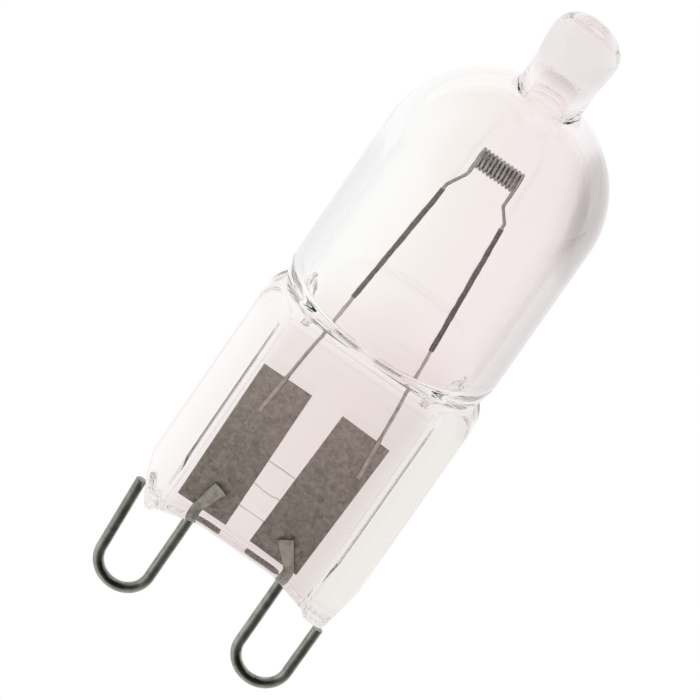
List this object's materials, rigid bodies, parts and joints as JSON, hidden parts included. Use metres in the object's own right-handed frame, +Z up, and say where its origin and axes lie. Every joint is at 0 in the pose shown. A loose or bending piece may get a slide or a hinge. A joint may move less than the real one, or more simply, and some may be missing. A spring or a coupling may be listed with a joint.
{
  "type": "halogen capsule bulb",
  "caption": "Clear halogen capsule bulb: a blown quartz bulb with a transverse coiled filament, a flat ribbed pinch seal with metal foils, and wire loops that plug into a holder.",
  "frame": {"origin": "on the lamp's axis, midway between the two wire loops, at the level of their bottoms", "axes": "+Z up the lamp's axis to the exhaust tip, +X across the flat pinch, from one loop to the other, -Y the front face of the pinch"},
  "size_m": [0.0134, 0.0128, 0.0426],
  "materials": {
    "quartz_glass": "clear fused quartz, fire polished",
    "lead_wire": "drawn wire, dulled",
    "molybdenum_foil": "dark crinkled foil",
    "molybdenum_wire": "drawn wire",
    "tungsten": "wound wire"
  },
  "bodies": {
    "root": {"glass_envelope": "quartz_glass", "pin_loop_left": "lead_wire", "pin_loop_right": "lead_wire", "foil_left": "molybdenum_foil", "foil_right": "molybdenum_foil", "inner_lead_left": "molybdenum_wire", "inner_lead_right": "molybdenum_wire", "lead_sleeve_left": "molybdenum_wire", "lead_sleeve_right": "molybdenum_wire", "filament_coil": "tungsten"}
  },
  "joints": []
}
